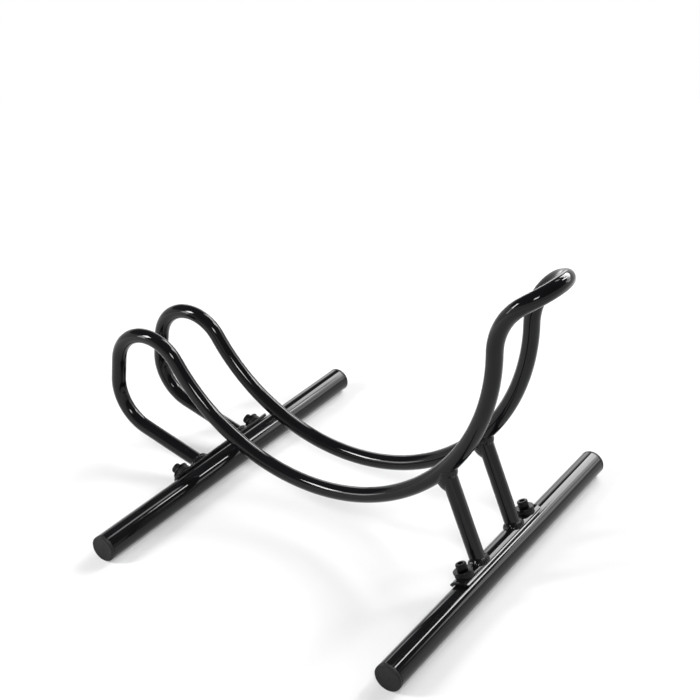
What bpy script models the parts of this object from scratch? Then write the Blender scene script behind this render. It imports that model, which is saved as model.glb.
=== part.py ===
"""Floor stand that holds a bicycle upright by one wheel.

One round bar is bent into two front loops and a cradle for the tyre, and its top is rolled
over into a flat hairpin. The bar's two ends and two straight posts are welded to curved
steel saddles. Each saddle is screwed down on a base tube that lies across the floor.

Metres. Z is up and the floor is at Z = 0. X runs along the base tubes and +Y points to the
back, where the hairpin is. The origin is on the floor under the middle of the stand.
"""

import math

import bmesh
import bpy
from mathutils import Matrix, Vector

# Gap kept between two pieces that touch on the real stand
CLEARANCE = 0.0003

# Base tubes
TUBE_DIAMETER = 0.025
TUBE_WALL = 0.0015
BASE_WIDTH = 0.376
BASE_SPACING = 0.3062

# End caps
CAP_HEAD = 0.003
CAP_EDGE_RADIUS = 0.0012
CAP_PLUG_LENGTH = 0.014
CAP_PLUG_WALL = 0.0018
CAP_RIB_HEIGHT = 0.0006
CAP_RIB_LENGTH = 0.0022
CAP_RIB_PITCH = 0.0055
CAP_RIB_COUNT = 2

# Bent bar: lengths run along the side view, angles of the cradle start at straight down
BAR_DIAMETER = 0.0145
BAR_SPACING = 0.064
FOOT_HEIGHT = 0.0442
FOOT_BEND_RADIUS = 0.043
UPRIGHT_LEAN = math.radians(8.3)
FRONT_BEND_RADIUS = 0.0418
CRADLE_RADIUS = 0.1882
CRADLE_SETBACK = 0.1181
CRADLE_FLOOR_HEIGHT = 0.0405
CRADLE_FRONT_ANGLE = math.radians(55.55)
CRADLE_BACK_ANGLE = math.radians(91.65)
TOP_BEND_RADIUS = 0.0585
TOP_RISE = math.radians(32.2)
HAIRPIN_NOSE = 0.0145

# Posts under the back of the cradle
POST_DIAMETER = 0.0145
POST_LEAN = math.radians(22.7)

# Welds: a leg runs up the round piece, a reach runs out over what it stands on
WELD_LEG = 0.0042
CROTCH_LEG = 0.0085
CROTCH_REACH = 0.0055
HEEL_LEG = 0.0045
HEEL_REACH = 0.0034
FLANK_REACH = 0.0012
WELD_FORM = ((0.0, 1.0), (0.42, 0.78), (0.78, 0.42), (1.0, 0.0))

# Saddles: curved straps that rest on a base tube by their two long edges
SADDLE_THICKNESS = 0.003
SADDLE_SEAT_WIDTH = 0.0159
SADDLE_LIFT = 0.0014
SADDLE_END_MARGIN = 0.0138
SADDLE_CORNER_RADIUS = 0.004

# Cap screws with their washers, curved spacers and threaded inserts
SCREW_DIAMETER = 0.006
SCREW_LENGTH = 0.025
SCREW_HEAD_DIAMETER = 0.010
SCREW_HEAD_HEIGHT = 0.006
SCREW_CHAMFER = 0.0005
SOCKET_WIDTH = 0.005
SOCKET_DEPTH = 0.003
WASHER_DIAMETER = 0.018
WASHER_THICKNESS = 0.0016
SPACER_DIAMETER = 0.017
SPACER_HEIGHT = 0.0022
SPACER_TO_WELD = 0.00425
INSERT_WALL = 0.0009
INSERT_LIP = 0.0004
INSERT_DEPTH = 0.0115
INSERT_FOLD_WIDTH = 0.001
INSERT_FOLD_HEIGHT = 0.003

# Smoothness
CHORD_ERROR = 0.00015
BAR_SIDES = 16
POST_SIDES = 24
TUBE_SIDES = 40
CAP_SIDES = 20
SCREW_SIDES = 18
DISC_SIDES = 20
INSERT_SIDES = 12
CUTTER_SIDES = 48
STRAP_STEPS = 12
CORNER_STEPS = 4
SHARP_ANGLE = math.radians(35)

# Sizes that follow from the ones above
TUBE_RADIUS = TUBE_DIAMETER / 2
BORE_RADIUS = TUBE_RADIUS - TUBE_WALL
BAR_RADIUS = BAR_DIAMETER / 2
POST_RADIUS = POST_DIAMETER / 2
BAR_X = BAR_SPACING / 2
CRADLE_HEIGHT = CRADLE_FLOOR_HEIGHT + CRADLE_RADIUS
SCREW_HOLE_RADIUS = SCREW_DIAMETER / 2 + CLEARANCE
INSERT_RADIUS = SCREW_HOLE_RADIUS + INSERT_WALL
WELD_REACH = max(BAR_RADIUS, POST_RADIUS) + WELD_LEG
SCREW_X = BAR_X + WELD_REACH + SPACER_TO_WELD + SPACER_DIAMETER / 2
SADDLE_HALF_LENGTH = SCREW_X + SADDLE_END_MARGIN

# Materials: colour, roughness, metallic
FINISHES = {
    "gloss_black_paint": ((0.012, 0.012, 0.014), 0.16, 0.0),
    "satin_black_plastic": ((0.030, 0.030, 0.032), 0.45, 0.0),
    "black_oxide_steel": ((0.030, 0.030, 0.033), 0.35, 0.9),
    "black_zinc_steel": ((0.080, 0.080, 0.085), 0.30, 0.9),
    "black_nylon": ((0.022, 0.022, 0.024), 0.50, 0.0),
    "zinc_plated_steel": ((0.550, 0.560, 0.580), 0.35, 1.0),
}


def polar(angle, length):
    """Point in the side view, as (y, z)."""
    return Vector((math.cos(angle), math.sin(angle))) * length


def arc(centre, radius, start, end):
    """Points of a side view arc, fine enough for the chord error."""
    step = 2 * math.acos(1 - min(CHORD_ERROR / radius, 1))
    count = max(2, math.ceil(abs(end - start) / step))
    return [centre + polar(start + (end - start) * i / count, radius) for i in range(count + 1)]


# Bent bar, side view
def tube_axis(at_back):
    """Centre of a base tube in the side view."""
    return Vector((BASE_SPACING if at_back else 0.0, TUBE_RADIUS))


def cradle_centre():
    return Vector((CRADLE_SETBACK, CRADLE_HEIGHT))


def front_bend():
    """Centre of the front bend, which joins the cradle in an S, and its last angle."""
    back = math.radians(270) - CRADLE_FRONT_ANGLE
    return cradle_centre() + polar(back, CRADLE_RADIUS + FRONT_BEND_RADIUS), back - math.pi


def upright_corner():
    """Where the upright's line reaches the foot height."""
    centre, _ = front_bend()
    top = centre + polar(math.pi - UPRIGHT_LEAN, FRONT_BEND_RADIUS)
    return Vector((top.x - (top.y - FOOT_HEIGHT) * math.tan(UPRIGHT_LEAN), FOOT_HEIGHT)), top


def leg_lean():
    """Tilt of the front legs towards the front, from straight up."""
    corner, _ = upright_corner()
    run = corner - tube_axis(False)
    return math.atan2(-run.x, run.y)


def foot_bend():
    """Arc that turns a leg into its upright."""
    corner, top = upright_corner()
    leg_end = tube_axis(False)
    to_leg = (leg_end - corner).normalized()
    to_top = (top - corner).normalized()
    half = math.acos(to_leg.dot(to_top)) / 2
    room = min((top - corner).length, (leg_end - corner).length - WELD_REACH - SADDLE_CREST)
    radius = min(FOOT_BEND_RADIUS, room * math.tan(half))
    centre = corner + (to_leg + to_top).normalized() * (radius / math.sin(half))
    first = math.radians(270) - (math.pi / 2 - leg_lean())
    return arc(centre, radius, first, math.pi - UPRIGHT_LEAN)


def side_view():
    """Centre line of one side of the bar, from its foot to the end of the top bend."""
    path = [tube_axis(False) + polar(math.pi / 2 + leg_lean(), SADDLE_OFFSET)]
    path += foot_bend()
    centre, last = front_bend()
    path += arc(centre, FRONT_BEND_RADIUS, math.pi - UPRIGHT_LEAN, last)
    first = math.radians(270) - CRADLE_FRONT_ANGLE
    back = math.radians(270) + CRADLE_BACK_ANGLE
    path += arc(cradle_centre(), CRADLE_RADIUS, first, back)[1:]
    centre = path[-1] + polar(back, TOP_BEND_RADIUS)
    path += arc(centre, TOP_BEND_RADIUS, back - math.pi, TOP_RISE + math.pi / 2)[1:]
    return path


def walk(path, length):
    """Point at a length from the end of a path; beyond the end it goes straight on."""
    ahead = (path[-1] - path[-2]).normalized()
    if length >= 0:
        return path[-1] + ahead * length
    rest = -length
    for i in range(len(path) - 1, 0, -1):
        run = path[i - 1] - path[i]
        if rest <= run.length:
            return path[i] + run * (rest / run.length)
        rest -= run.length
    return path[0]


def bar_path():
    """Centre line of the whole bar, from the right foot over the hairpin to the left foot."""
    side = side_view()
    start = HAIRPIN_NOSE - BAR_X
    total = 0.0
    keep = len(side)
    while keep > 1 and total < -start:
        total += (side[keep - 1] - side[keep - 2]).length
        keep -= 1
    right = [Vector((BAR_X, p.x, p.y)) for p in side[:keep]]
    turn = arc(Vector((0, 0)), BAR_X, 0, math.pi / 2)
    for point in turn[:-1]:
        flat = walk(side, start + point.y)
        right.append(Vector((point.x, flat.x, flat.y)))
    nose = walk(side, HAIRPIN_NOSE)
    left = [Vector((-p.x, p.y, p.z)) for p in reversed(right)]
    return right + [Vector((0, nose.x, nose.y))] + left


# Saddle, seen along its tube
def saddle_circle():
    """Inner radius of a saddle, and how far its centre lies above the tube's axis."""
    edge = TUBE_RADIUS + CLEARANCE
    half_width = SADDLE_SEAT_WIDTH / 2
    rise = TUBE_RADIUS + SADDLE_LIFT - math.sqrt(edge ** 2 - half_width ** 2)
    inner = (half_width ** 2 + rise ** 2) / (2 * rise)
    return inner, TUBE_RADIUS + SADDLE_LIFT - inner


SADDLE_INNER, SADDLE_OFFSET = saddle_circle()
SADDLE_OUTER = SADDLE_INNER + SADDLE_THICKNESS
SADDLE_CREST = SADDLE_OFFSET + SADDLE_OUTER
STACK_SPACER = SADDLE_CREST + CLEARANCE + SPACER_HEIGHT
STACK_WASHER = STACK_SPACER + CLEARANCE + WASHER_THICKNESS
STACK_HEAD = STACK_WASHER + CLEARANCE


def over_saddle(gap):
    """Height of the surface that lies over a saddle at some gap, across the tube."""
    return lambda x, y: SADDLE_OFFSET + math.sqrt((SADDLE_OUTER + gap) ** 2 - y ** 2)


def over_tube(radius):
    """Height of a round surface about the tube's axis."""
    return lambda x, y: math.sqrt(radius ** 2 - y ** 2)


# Shapes
def build_object(name, points, faces, finish):
    """Object from points and faces, with its faces turned out."""
    mesh = bpy.data.meshes.new(name)
    mesh.from_pydata([tuple(p) for p in points], [], faces)
    work = bmesh.new()
    work.from_mesh(mesh)
    bmesh.ops.recalc_face_normals(work, faces=work.faces)
    work.to_mesh(mesh)
    work.free()
    item = bpy.data.objects.new(name, mesh)
    bpy.context.scene.collection.objects.link(item)
    item.data.materials.append(bpy.data.materials[finish])
    return shade(item)


def shade(item):
    item.data.shade_smooth()
    item.data.set_sharp_from_angle(angle=SHARP_ANGLE)
    return item


def skin(rings, closed):
    """Faces over rings of equal length; open skins are capped at both ends."""
    sides = len(rings[0])
    count = len(rings)
    faces = []
    for i in range(count if closed else count - 1):
        a = i * sides
        b = (i + 1) % count * sides
        for j in range(sides):
            k = (j + 1) % sides
            faces.append((a + j, a + k, b + k, b + j))
    if not closed:
        faces.append(tuple(range(sides)))
        faces.append(tuple(range((count - 1) * sides, count * sides)))
    return [p for ring in rings for p in ring], faces


def turned(name, profile, sides, finish, closed=False):
    """Body turned about Z; a radius may follow the angle, and a height the place."""
    rings = []
    for radius, height in profile:
        ring = []
        for j in range(sides):
            angle = 2 * math.pi * j / sides
            reach = radius(angle) if callable(radius) else radius
            x, y = reach * math.cos(angle), reach * math.sin(angle)
            ring.append(Vector((x, y, height(x, y) if callable(height) else height)))
        rings.append(ring)
    return build_object(name, *skin(rings, closed), finish)


def swept(name, path, radius, sides, finish):
    """Round bar along a path, with rings that don't twist."""
    last = len(path) - 1
    rings = []
    across = Vector((1, 0, 0))
    for i, point in enumerate(path):
        along = (path[min(i + 1, last)] - path[max(i - 1, 0)]).normalized()
        across = (across - along * across.dot(along)).normalized()
        side = along.cross(across)
        ring = []
        for j in range(sides):
            angle = 2 * math.pi * j / sides
            ring.append(point + (across * math.cos(angle) + side * math.sin(angle)) * radius)
        rings.append(ring)
    return build_object(name, *skin(rings, False), finish)


def combine(item, tool, operation):
    """Applies a Boolean and removes the tool."""
    modifier = item.modifiers.new(operation.lower(), "BOOLEAN")
    modifier.object = tool
    modifier.operation = operation
    modifier.solver = "EXACT"
    bpy.context.view_layer.update()
    shaped = item.evaluated_get(bpy.context.evaluated_depsgraph_get())
    old = item.data
    item.data = bpy.data.meshes.new_from_object(shaped)
    item.modifiers.clear()
    bpy.data.meshes.remove(old)
    bpy.data.meshes.remove(tool.data)
    return shade(item)


def moved(item, matrix):
    item.data.transform(matrix)
    return item


# Frames: local Z of a station points from a tube's axis through its saddle
def station_lean(at_back):
    return POST_LEAN if at_back else leg_lean()


def station_matrix(at_back):
    axis = tube_axis(at_back)
    return Matrix.Translation((0, axis.x, axis.y)) @ Matrix.Rotation(station_lean(at_back), 4, "X")


def place(item, at_back, x=0.0):
    """Puts an item that was drawn in a station's frame in its place on the stand."""
    axis = tube_axis(at_back)
    item.location = (x, axis.x, axis.y)
    item.rotation_euler = (station_lean(at_back), 0, 0)
    return item


def saddle_cutter():
    """Everything under a saddle's outer face, with the gap that a foot keeps to it."""
    length = SADDLE_HALF_LENGTH
    profile = [(SADDLE_OUTER + CLEARANCE, -length), (SADDLE_OUTER + CLEARANCE, length)]
    tool = turned("saddle_cutter", profile, CUTTER_SIDES, "gloss_black_paint")
    turn = Matrix.Rotation(math.pi / 2, 4, "Y")
    return moved(tool, Matrix.Translation((0, 0, SADDLE_OFFSET)) @ turn)


def weld(radius, reach, leg, surface, upward):
    """Rings of a fillet weld between a round piece and a surface, from the surface out."""
    def ring(out, up):
        def height(x, y):
            return surface(x, y) + upward * up * leg(math.atan2(y, x))
        return lambda angle: radius + out * reach(angle), height
    return [ring(out, up) for out, up in reversed(WELD_FORM)]


def foot_weld(radius):
    """Weld round a foot, which stays on the saddle where that is narrow."""
    edge = SADDLE_OUTER * SADDLE_SEAT_WIDTH / 2 / SADDLE_INNER - radius

    def reach(angle):
        return WELD_LEG * math.cos(angle) ** 2 + min(WELD_LEG, edge) * math.sin(angle) ** 2
    return weld(radius, reach, lambda angle: WELD_LEG, over_saddle(0), 1)


# Wheel hoop
def wheel_hoop():
    path = bar_path()
    hoop = swept("wheel_hoop", path, BAR_RADIUS, BAR_SIDES, "gloss_black_paint")
    frame = station_matrix(False)
    core = BAR_RADIUS - WELD_LEG / 2
    profile = [(core, SADDLE_OFFSET)] + foot_weld(BAR_RADIUS) + [(core, SADDLE_CREST + WELD_LEG)]
    for side in (1, -1):
        collar = turned("collar", profile, POST_SIDES, "gloss_black_paint")
        moved(collar, frame @ Matrix.Translation((side * BAR_X, 0, 0)))
        combine(hoop, collar, "UNION")
    return combine(hoop, moved(saddle_cutter(), frame), "DIFFERENCE")


# Posts
def post_joint():
    """Length from the back tube's axis to the cradle's centre line, and the angle there."""
    start = tube_axis(True) - cradle_centre()
    ahead = polar(math.pi / 2 + POST_LEAN, 1)
    across = start.dot(ahead)
    length = -across - math.sqrt(across ** 2 - start.length_squared + CRADLE_RADIUS ** 2)
    meet = start + ahead * length
    return length, math.atan2(meet.y, meet.x)


def bar_cutter():
    """Stretch of the bar over a post, with the gap that the post keeps to it."""
    _, angle = post_joint()
    reach = (POST_DIAMETER + WELD_REACH) / CRADLE_RADIUS
    line = arc(cradle_centre(), CRADLE_RADIUS, angle - reach, angle + reach)
    path = [Vector((0, p.x, p.y)) for p in line]
    tool = swept("bar_cutter", path, BAR_RADIUS + CLEARANCE, POST_SIDES, "gloss_black_paint")
    return moved(tool, station_matrix(True).inverted())


def blend(angle, flank, front, back):
    """Value that runs round a post from its flanks to its front and back."""
    side = math.sin(angle)
    return flank * math.cos(angle) ** 2 + (back if side > 0 else front) * side ** 2


def top_weld():
    """Weld under the bar, fuller in the sharp corner at the front of the post."""
    length, angle = post_joint()
    slope = angle + math.pi / 2 - POST_LEAN
    flank = BAR_RADIUS - FLANK_REACH

    def under_bar(x, y):
        drop = math.sqrt(BAR_RADIUS ** 2 - min(abs(x), flank) ** 2) / math.cos(slope)
        return length + y * math.tan(slope) - drop

    def reach(angle):
        return blend(angle, FLANK_REACH, CROTCH_REACH, HEEL_REACH)

    def leg(angle):
        return blend(angle, WELD_LEG, CROTCH_LEG, HEEL_LEG)
    rings = weld(POST_RADIUS, reach, leg, under_bar, -1)
    tuck = (POST_RADIUS, lambda x, y: under_bar(x, y) + WELD_LEG / 2)
    return [(POST_RADIUS - WELD_LEG / 2, length), tuck] + rings


def post(name, x):
    """Post with its welds, coped to the bar above and to the saddle below."""
    profile = [(POST_RADIUS - WELD_LEG / 2, SADDLE_OFFSET)] + foot_weld(POST_RADIUS)
    item = turned(name, profile + top_weld()[::-1], POST_SIDES, "gloss_black_paint")
    combine(item, bar_cutter(), "DIFFERENCE")
    combine(item, saddle_cutter(), "DIFFERENCE")
    return place(item, True, x)


# Saddles
def rounded_blank(half_width):
    """Plan outline of a saddle, as a block that trims its corners."""
    corner = SADDLE_CORNER_RADIUS
    outline = []
    for quarter in range(4):
        sx, sy = ((1, 1), (-1, 1), (-1, -1), (1, -1))[quarter]
        centre = Vector((sx * (SADDLE_HALF_LENGTH - corner), sy * (half_width - corner)))
        for i in range(CORNER_STEPS + 1):
            angle = (quarter + i / CORNER_STEPS) * math.pi / 2
            outline.append(centre + polar(angle, corner))
    rings = [[Vector((p.x, p.y, z)) for p in outline] for z in (0.0, 2 * SADDLE_CREST)]
    return build_object("blank", *skin(rings, False), "gloss_black_paint")


def screw_hole(radius, x, low, high):
    tool = turned("hole", [(radius, low), (radius, high)], POST_SIDES, "gloss_black_paint")
    return moved(tool, Matrix.Translation((x, 0, 0)))


def saddle(name, at_back):
    """Strap rolled about a line above the tube's axis, with two screw holes."""
    half = math.asin(SADDLE_SEAT_WIDTH / 2 / SADDLE_INNER)
    angles = [math.pi / 2 + half * (1 - 2 * i / STRAP_STEPS) for i in range(STRAP_STEPS + 1)]
    section = [polar(a, SADDLE_OUTER) for a in angles]
    section += [polar(a, SADDLE_INNER) for a in reversed(angles)]
    length = SADDLE_HALF_LENGTH + SADDLE_CORNER_RADIUS
    rings = [[Vector((x, p.x, SADDLE_OFFSET + p.y)) for p in section] for x in (-length, length)]
    item = build_object(name, *skin(rings, False), "gloss_black_paint")
    half_width = SADDLE_OUTER * math.sin(half) + CLEARANCE / 2
    combine(item, rounded_blank(half_width), "INTERSECT")
    for side in (1, -1):
        hole = screw_hole(SCREW_HOLE_RADIUS, side * SCREW_X, 0.0, 2 * SADDLE_CREST)
        combine(item, hole, "DIFFERENCE")
    return place(item, at_back)


# Base tubes and their caps
def base_tube(name, at_back):
    """Open tube with one hole in its wall for each threaded insert."""
    half = BASE_WIDTH / 2 - CAP_HEAD - CLEARANCE
    profile = [(TUBE_RADIUS, -half), (TUBE_RADIUS, half), (BORE_RADIUS, half), (BORE_RADIUS, -half)]
    item = turned(name, profile, TUBE_SIDES, "gloss_black_paint", closed=True)
    moved(item, Matrix.Rotation(math.pi / 2, 4, "Y"))
    lean = Matrix.Rotation(station_lean(at_back), 4, "X")
    for side in (1, -1):
        hole = screw_hole(INSERT_RADIUS + CLEARANCE, side * SCREW_X, 0.0, TUBE_DIAMETER)
        combine(item, moved(hole, lean), "DIFFERENCE")
    axis = tube_axis(at_back)
    item.location = (0, axis.x, axis.y)
    return item


def end_cap(name, at_back, side):
    """Push-in cap with a rounded rim, and a hollow plug with ring ribs that grip the bore."""
    rib = BORE_RADIUS - CLEARANCE
    plug = rib - CAP_RIB_HEIGHT
    hollow = plug - CAP_PLUG_WALL
    profile = []
    for angle in (math.pi / 2, math.pi / 4, 0.0):
        corner = polar(angle, CAP_EDGE_RADIUS)
        rim = TUBE_RADIUS - CAP_EDGE_RADIUS + corner.x
        profile.append((rim, CAP_HEAD - CAP_EDGE_RADIUS + corner.y))
    profile += [(TUBE_RADIUS, 0.0), (plug, 0.0)]
    for i in range(CAP_RIB_COUNT):
        top = -CAP_RIB_PITCH * (i + 1) + CAP_RIB_LENGTH
        profile += [(plug, top), (rib, top - CAP_RIB_HEIGHT), (plug, top - CAP_RIB_LENGTH)]
    profile += [(plug, -CAP_PLUG_LENGTH), (hollow, -CAP_PLUG_LENGTH), (hollow, 0.0)]
    item = turned(name, profile, CAP_SIDES, "satin_black_plastic")
    axis = tube_axis(at_back)
    item.location = (side * (BASE_WIDTH / 2 - CAP_HEAD), axis.x, axis.y)
    item.rotation_euler = (0, side * math.pi / 2, 0)
    return item


# Fasteners
def socket(angle):
    """Radius of the hexagon socket at an angle."""
    sector = math.pi / 3
    return SOCKET_WIDTH / 2 / math.cos((angle + sector / 2) % sector - sector / 2)


def cap_screw(name, at_back, side):
    shank = SCREW_DIAMETER / 2
    head = SCREW_HEAD_DIAMETER / 2
    tip = STACK_HEAD - SCREW_LENGTH
    top = STACK_HEAD + SCREW_HEAD_HEIGHT
    profile = [
        (shank - SCREW_CHAMFER, tip),
        (shank, tip + SCREW_CHAMFER),
        (shank, STACK_HEAD),
        (head, STACK_HEAD),
        (head, top - SCREW_CHAMFER),
        (head - SCREW_CHAMFER, top),
        (socket, top),
        (socket, top - SOCKET_DEPTH),
    ]
    item = turned(name, profile, SCREW_SIDES, "black_oxide_steel")
    return place(item, at_back, side * SCREW_X)


def washer(name, at_back, side):
    low = STACK_SPACER + CLEARANCE
    outer = WASHER_DIAMETER / 2
    profile = [
        (SCREW_HOLE_RADIUS, STACK_WASHER),
        (SCREW_HOLE_RADIUS, low),
        (outer, low),
        (outer, STACK_WASHER),
    ]
    item = turned(name, profile, DISC_SIDES, "black_zinc_steel", closed=True)
    return place(item, at_back, side * SCREW_X)


def curved_spacer(name, at_back, side):
    """Disc whose under side follows the saddle, so that the washer lies flat."""
    outer = SPACER_DIAMETER / 2
    follow = over_saddle(CLEARANCE)
    steps = [SCREW_HOLE_RADIUS + (outer - SCREW_HOLE_RADIUS) * i / 3 for i in range(4)]
    profile = [(SCREW_HOLE_RADIUS, STACK_SPACER)]
    profile += [(radius, follow) for radius in steps]
    profile += [(outer, STACK_SPACER - SCREW_CHAMFER), (outer - SCREW_CHAMFER, STACK_SPACER)]
    item = turned(name, profile, DISC_SIDES, "black_nylon", closed=True)
    return place(item, at_back, side * SCREW_X)


def threaded_insert(name, at_back, side):
    """Insert set in the tube's wall: thin lip outside, folded collar inside, bore through."""
    lip = INSERT_RADIUS + CLEARANCE + INSERT_LIP
    fold = INSERT_RADIUS + CLEARANCE + INSERT_FOLD_WIDTH
    lip_low = TUBE_RADIUS + CLEARANCE
    lip_top = TUBE_RADIUS + SADDLE_LIFT - 2 * CLEARANCE
    fold_top = BORE_RADIUS - CLEARANCE
    fold_low = math.sqrt(fold_top ** 2 - fold ** 2) - INSERT_FOLD_HEIGHT
    bottom = TUBE_RADIUS - INSERT_DEPTH
    profile = [
        (SCREW_HOLE_RADIUS, bottom),
        (INSERT_RADIUS, bottom),
        (INSERT_RADIUS, fold_low - INSERT_FOLD_WIDTH),
        (fold, fold_low),
        (fold, over_tube(fold_top)),
        (INSERT_RADIUS, over_tube(fold_top)),
        (INSERT_RADIUS, over_tube(lip_low)),
        (lip, over_tube(lip_low)),
        (lip, over_tube(lip_top)),
        (SCREW_HOLE_RADIUS, over_tube(lip_top)),
    ]
    item = turned(name, profile, INSERT_SIDES, "zinc_plated_steel", closed=True)
    return place(item, at_back, side * SCREW_X)


# The whole stand
def clear_scene():
    for item in list(bpy.data.objects):
        bpy.data.objects.remove(item, do_unlink=True)


def make_materials():
    for name, (colour, roughness, metallic) in FINISHES.items():
        material = bpy.data.materials.new(name)
        material.use_nodes = True
        shader = material.node_tree.nodes["Principled BSDF"]
        shader.inputs["Base Color"].default_value = (*colour, 1)
        shader.inputs["Roughness"].default_value = roughness
        shader.inputs["Metallic"].default_value = metallic


def middle_of(path):
    """Middle of the bar's length from front to back."""
    return (min(p.y for p in path) + max(p.y for p in path)) / 2


def make_stand():
    pieces = [wheel_hoop(), post("right_post", BAR_X), post("left_post", -BAR_X)]
    for end, at_back in (("front", False), ("rear", True)):
        pieces.append(base_tube(end + "_base_tube", at_back))
        pieces.append(saddle(end + "_saddle", at_back))
        for hand, side in (("right", 1), ("left", -1)):
            label = end + "_" + hand
            pieces.append(end_cap(label + "_end_cap", at_back, side))
            pieces.append(cap_screw(label + "_cap_screw", at_back, side))
            pieces.append(washer(label + "_washer", at_back, side))
            pieces.append(curved_spacer(label + "_curved_spacer", at_back, side))
            pieces.append(threaded_insert(label + "_threaded_insert", at_back, side))
    stand = bpy.data.objects.new("stand", None)
    bpy.context.scene.collection.objects.link(stand)
    stand.location = (0, -middle_of(bar_path()), 0)
    for piece in pieces:
        piece.parent = stand
    bpy.context.view_layer.update()


clear_scene()
make_materials()
make_stand()
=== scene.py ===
"""Looks of a floor stand that holds a bicycle upright by one wheel.

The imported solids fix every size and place. Smooth bars, tubes, straps, welds, caps and
fasteners stand for them here, in gloss black paint, moulded plastic and plated steel.

Metres. Z is up and the floor is at Z = 0. X runs along the base tubes and +Y points to the
back, where the hairpin is. Points in the side view are (y, z).
"""

import math

import bmesh
import bpy
from mathutils import Matrix, Quaternion, Vector


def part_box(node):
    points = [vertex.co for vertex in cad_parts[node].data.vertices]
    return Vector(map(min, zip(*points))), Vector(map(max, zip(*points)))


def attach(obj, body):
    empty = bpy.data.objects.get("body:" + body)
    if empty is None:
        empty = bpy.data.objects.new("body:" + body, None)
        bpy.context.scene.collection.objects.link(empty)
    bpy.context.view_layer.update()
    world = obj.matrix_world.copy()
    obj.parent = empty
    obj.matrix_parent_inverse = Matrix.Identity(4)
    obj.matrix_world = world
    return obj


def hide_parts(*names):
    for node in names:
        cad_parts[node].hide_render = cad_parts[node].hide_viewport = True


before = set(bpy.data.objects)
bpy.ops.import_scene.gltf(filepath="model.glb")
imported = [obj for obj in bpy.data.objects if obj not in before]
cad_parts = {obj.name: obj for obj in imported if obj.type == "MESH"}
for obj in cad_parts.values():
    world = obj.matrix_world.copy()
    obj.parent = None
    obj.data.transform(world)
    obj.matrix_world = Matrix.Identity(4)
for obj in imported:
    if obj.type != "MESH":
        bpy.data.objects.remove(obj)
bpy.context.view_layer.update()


def middle_and_half(node):
    """Middle of a CAD node's box, and half of its size."""
    low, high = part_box(node)
    return (low + high) / 2, (high - low) / 2


# Sizes read from the frame
FRONT_MIDDLE, TUBE_HALF = middle_and_half("front_base_tube")
REAR_MIDDLE, _ = middle_and_half("rear_base_tube")
_, SADDLE_HALF = middle_and_half("rear_saddle")
WASHER_MIDDLE, WASHER_HALF = middle_and_half("rear_right_washer")
TUBE_RADIUS = TUBE_HALF.z
TUBE_HALF_LENGTH = TUBE_HALF.x
SADDLE_HALF_LENGTH = SADDLE_HALF.x
SCREW_X = WASHER_MIDDLE.x
WASHER_RADIUS = WASHER_HALF.x

# Gap between pieces that touch, and how far welded pieces sink into each other
CLEARANCE = 0.0003
OVERLAP = 0.0003

# Base tubes and their caps; the gate mark's foot is given in gate radii
TUBE_WALL = 0.0015
TUBE_END_ROUND = 0.0003
CAP_HEAD = 0.003
CAP_EDGE_RADIUS = 0.0012
CAP_DISH = 0.00025
CAP_DISH_RADIUS = 0.0094
CAP_GATE_RADIUS = 0.0011
CAP_GATE_HEIGHT = 0.00016
CAP_GATE_FOOT = 1.25
CAP_PLUG_LENGTH = 0.014
CAP_PLUG_WALL = 0.0018
CAP_RIB_HEIGHT = 0.0006
CAP_RIB_LENGTH = 0.0022
CAP_RIB_PITCH = 0.0055
CAP_RIB_COUNT = 2

# Bent bar, side view: angles of the cradle start at straight down
BAR_RADIUS = 0.00725
BAR_X = 0.032
FOOT_HEIGHT = 0.0442
FOOT_BEND_RADIUS = 0.043
UPRIGHT_LEAN = math.radians(8.3)
FRONT_BEND_RADIUS = 0.0418
CRADLE_RADIUS = 0.1882
CRADLE_SETBACK = 0.1181
CRADLE_HEIGHT = 0.2287
CRADLE_FRONT_ANGLE = math.radians(55.55)
CRADLE_BACK_ANGLE = math.radians(91.65)
TOP_BEND_RADIUS = 0.0585
TOP_RISE = math.radians(32.2)
HAIRPIN_NOSE = 0.0145

# Posts
POST_RADIUS = 0.00725
POST_LEAN = math.radians(22.7)

# Welds: a leg runs up the round piece, a reach runs out over what it stands on
WELD_LEG = 0.0042
WELD_CROWN = 0.0007
WELD_RIPPLE = 0.7
WELD_PITCH = 0.0021
WELD_BOW = 0.8
WELD_WANDER = 0.07
WELD_WANDER_COUNT = 3
WELD_EDGE_MARGIN = 0.0005
CROTCH_LEG = 0.0085
CROTCH_REACH = 0.0055
HEEL_LEG = 0.0045
HEEL_REACH = 0.0034
FLANK_LEG = 0.0030
FLANK_REACH = 0.0020
COPE_EASE = 0.0025

# Saddles: the seat is the width between the two edges that touch the tube
SADDLE_THICKNESS = 0.003
SADDLE_SEAT_WIDTH = 0.0159
SADDLE_LIFT = 0.0014
SADDLE_CORNER_RADIUS = 0.004
SADDLE_EDGE_ROUND = 0.0006

# Fasteners; the knurl's ends are given in chamfers
SCREW_RADIUS = 0.003
SCREW_LENGTH = 0.025
SCREW_PITCH = 0.001
THREAD_DEPTH = 0.0006
THREAD_LENGTH = 0.019
THREAD_FLANK = 2.4
HEAD_RADIUS = 0.005
HEAD_HEIGHT = 0.006
HEAD_CHAMFER = 0.0005
KNURL_COUNT = 36
KNURL_DEPTH = 0.00016
KNURL_LOW = 1.4
KNURL_HIGH = 2.2
KNURL_TOP = 1.8
SOCKET_WIDTH = 0.005
SOCKET_DEPTH = 0.003
SOCKET_LEAD = 0.0003
INSERT_WALL = 0.0009
WASHER_THICKNESS = 0.0016
WASHER_ROUND = 0.00035
SPACER_RADIUS = 0.0085
SPACER_HEIGHT = 0.0022
SPACER_ROUND = 0.0005

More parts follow.
